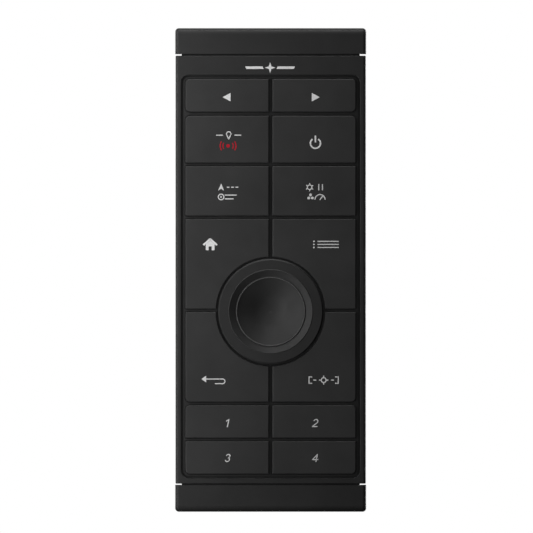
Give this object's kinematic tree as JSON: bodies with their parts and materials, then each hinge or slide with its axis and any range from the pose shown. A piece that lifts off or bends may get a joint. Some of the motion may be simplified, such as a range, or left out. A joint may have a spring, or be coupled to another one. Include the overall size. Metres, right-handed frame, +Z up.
{
  "type": "helm keypad",
  "caption": "Black panel-mounted helm keypad: two columns of keys round a joystick knob that turns and presses, clip-on trim caps, and a sealed rear box with battery bay and round port.",
  "frame": {"origin": "centre of the four panel screws, on the face of the panel", "axes": "+Z up along the keypad towards the top trim cap, -Y out of the face towards the user, +Y into the panel, +X to the user's right"},
  "size_m": [0.0628, 0.0476, 0.159],
  "materials": {
    "key_plastic": "fine matte",
    "bezel_plastic": "fine moulded texture",
    "housing_plastic": "moulded texture",
    "grip_rubber": "satin soft touch",
    "silicone": "matte",
    "seal_rubber": "matte foam",
    "circuit_board": "solder mask",
    "chip_plastic": "moulded",
    "spring_steel": "bright",
    "tinned_steel": "satin",
    "shaft_steel": "ground",
    "screw_steel": "plated",
    "nickel_brass": "nickel plated",
    "gold_contacts": "gold plated",
    "contact_plate": "nickel plated",
    "acetal": "natural",
    "cell_jacket": "printed film",
    "led_lens": "clear resin",
    "vent_film": "membrane"
  },
  "bodies": {
    "housing": {"rear_housing": "housing_plastic", "front_bezel": "bezel_plastic", "key_frame": "bezel_plastic", "key_mat": "silicone", "main_board": "circuit_board", "key_domes": "spring_steel", "key_leds": "led_lens", "board_chips": "chip_plastic", "radio_shield": "tinned_steel", "board_screws": "screw_steel", "case_screws": "screw_steel", "sealing_rings": "seal_rubber", "panel_gasket": "seal_rubber", "vent_membrane": "vent_film", "connector_shell": "nickel_brass", "connector_nut": "nickel_brass", "connector_insert": "chip_plastic", "connector_pins": "gold_contacts", "power_board": "circuit_board", "board_header": "chip_plastic", "battery_cells": "cell_jacket", "battery_contacts": "contact_plate", "battery_springs": "contact_plate", "knob_collar": "bezel_plastic", "collar_screws": "screw_steel", "joystick_boot": "silicone", "joystick_frame": "tinned_steel", "tilt_pins": "shaft_steel", "tilt_board": "circuit_board", "tilt_switches": "chip_plastic", "centering_spring": "spring_steel"},
    "key_page_left": {"key_page_left": "key_plastic"},
    "key_page_right": {"key_page_right": "key_plastic"},
    "key_mark": {"key_mark": "key_plastic"},
    "key_power": {"key_power": "key_plastic"},
    "key_nav_info": {"key_nav_info": "key_plastic"},
    "key_standby": {"key_standby": "key_plastic"},
    "key_home": {"key_home": "key_plastic"},
    "key_menu": {"key_menu": "key_plastic"},
    "key_back": {"key_back": "key_plastic"},
    "key_focus": {"key_focus": "key_plastic"},
    "key_1": {"key_1": "key_plastic"},
    "key_2": {"key_2": "key_plastic"},
    "key_3": {"key_3": "key_plastic"},
    "key_4": {"key_4": "key_plastic"},
    "top_cap": {"top_trim_cap": "bezel_plastic"},
    "bottom_cap": {"bottom_trim_cap": "bezel_plastic"},
    "door": {"battery_door": "housing_plastic", "door_screws": "screw_steel"},
    "gimbal": {"gimbal_ring": "acetal", "stick_pins": "shaft_steel"},
    "encoder": {"encoder_cup": "chip_plastic", "encoder_lid": "tinned_steel", "push_dome": "spring_steel"},
    "rotor": {"encoder_rotor": "acetal"},
    "knob": {"knob_shaft": "shaft_steel", "shaft_clip": "spring_steel", "knob_core": "chip_plastic", "knob_grip": "grip_rubber", "knob_cap": "grip_rubber"}
  },
  "joints": [
    {"name": "key_page_left_press", "type": "slide", "parent": "housing", "child": "key_page_left", "axis": [0, 1, 0], "range_m": [0, 0.0006], "stiffness_N_per_m": 2000, "deforming": ["key_mat", "key_domes"]},
    {"name": "key_page_right_press", "type": "slide", "parent": "housing", "child": "key_page_right", "axis": [0, 1, 0], "range_m": [0, 0.0006], "stiffness_N_per_m": 2000},
    {"name": "key_mark_press", "type": "slide", "parent": "housing", "child": "key_mark", "axis": [0, 1, 0], "range_m": [0, 0.0006], "stiffness_N_per_m": 2000},
    {"name": "key_power_press", "type": "slide", "parent": "housing", "child": "key_power", "axis": [0, 1, 0], "range_m": [0, 0.0006], "stiffness_N_per_m": 2000},
    {"name": "key_nav_info_press", "type": "slide", "parent": "housing", "child": "key_nav_info", "axis": [0, 1, 0], "range_m": [0, 0.0006], "stiffness_N_per_m": 2000},
    {"name": "key_standby_press", "type": "slide", "parent": "housing", "child": "key_standby", "axis": [0, 1, 0], "range_m": [0, 0.0006], "stiffness_N_per_m": 2000},
    {"name": "key_home_press", "type": "slide", "parent": "housing", "child": "key_home", "axis": [0, 1, 0], "range_m": [0, 0.0006], "stiffness_N_per_m": 2000},
    {"name": "key_menu_press", "type": "slide", "parent": "housing", "child": "key_menu", "axis": [0, 1, 0], "range_m": [0, 0.0006], "stiffness_N_per_m": 2000},
    {"name": "key_back_press", "type": "slide", "parent": "housing", "child": "key_back", "axis": [0, 1, 0], "range_m": [0, 0.0006], "stiffness_N_per_m": 2000},
    {"name": "key_focus_press", "type": "slide", "parent": "housing", "child": "key_focus", "axis": [0, 1, 0], "range_m": [0, 0.0006], "stiffness_N_per_m": 2000},
    {"name": "key_1_press", "type": "slide", "parent": "housing", "child": "key_1", "axis": [0, 1, 0], "range_m": [0, 0.0006], "stiffness_N_per_m": 2000},
    {"name": "key_2_press", "type": "slide", "parent": "housing", "child": "key_2", "axis": [0, 1, 0], "range_m": [0, 0.0006], "stiffness_N_per_m": 2000},
    {"name": "key_3_press", "type": "slide", "parent": "housing", "child": "key_3", "axis": [0, 1, 0], "range_m": [0, 0.0006], "stiffness_N_per_m": 2000},
    {"name": "key_4_press", "type": "slide", "parent": "housing", "child": "key_4", "axis": [0, 1, 0], "range_m": [0, 0.0006], "stiffness_N_per_m": 2000},
    {"name": "stick_tilt_up_down", "type": "hinge", "parent": "housing", "child": "gimbal", "pos_m": [0, 0.003, -0.01364], "axis": [1, 0, 0], "range_deg": [-4, 4], "stiffness_Nm_per_rad": 0.6, "deforming": ["joystick_boot", "centering_spring", "tilt_switches"]},
    {"name": "stick_tilt_left_right", "type": "hinge", "parent": "gimbal", "child": "encoder", "pos_m": [0, 0.003, -0.01364], "axis": [0, 0, 1], "range_deg": [-4, 4], "stiffness_Nm_per_rad": 0.6},
    {"name": "knob_turn", "type": "hinge", "parent": "encoder", "child": "rotor", "pos_m": [0, 0.003, -0.01364], "axis": [0, -1, 0], "continuous": true},
    {"name": "knob_press", "type": "slide", "parent": "rotor", "child": "knob", "axis": [0, 1, 0], "range_m": [0, 0.0006], "stiffness_N_per_m": 3000, "deforming": ["push_dome"]},
    {"name": "top_cap_pull", "type": "slide", "parent": "housing", "child": "top_cap", "axis": [0, -1, 0], "range_m": [0, 0.015]},
    {"name": "bottom_cap_pull", "type": "slide", "parent": "housing", "child": "bottom_cap", "axis": [0, -1, 0], "range_m": [0, 0.015]},
    {"name": "door_lift", "type": "slide", "parent": "housing", "child": "door", "axis": [0, 1, 0], "range_m": [0, 0.03]}
  ]
}
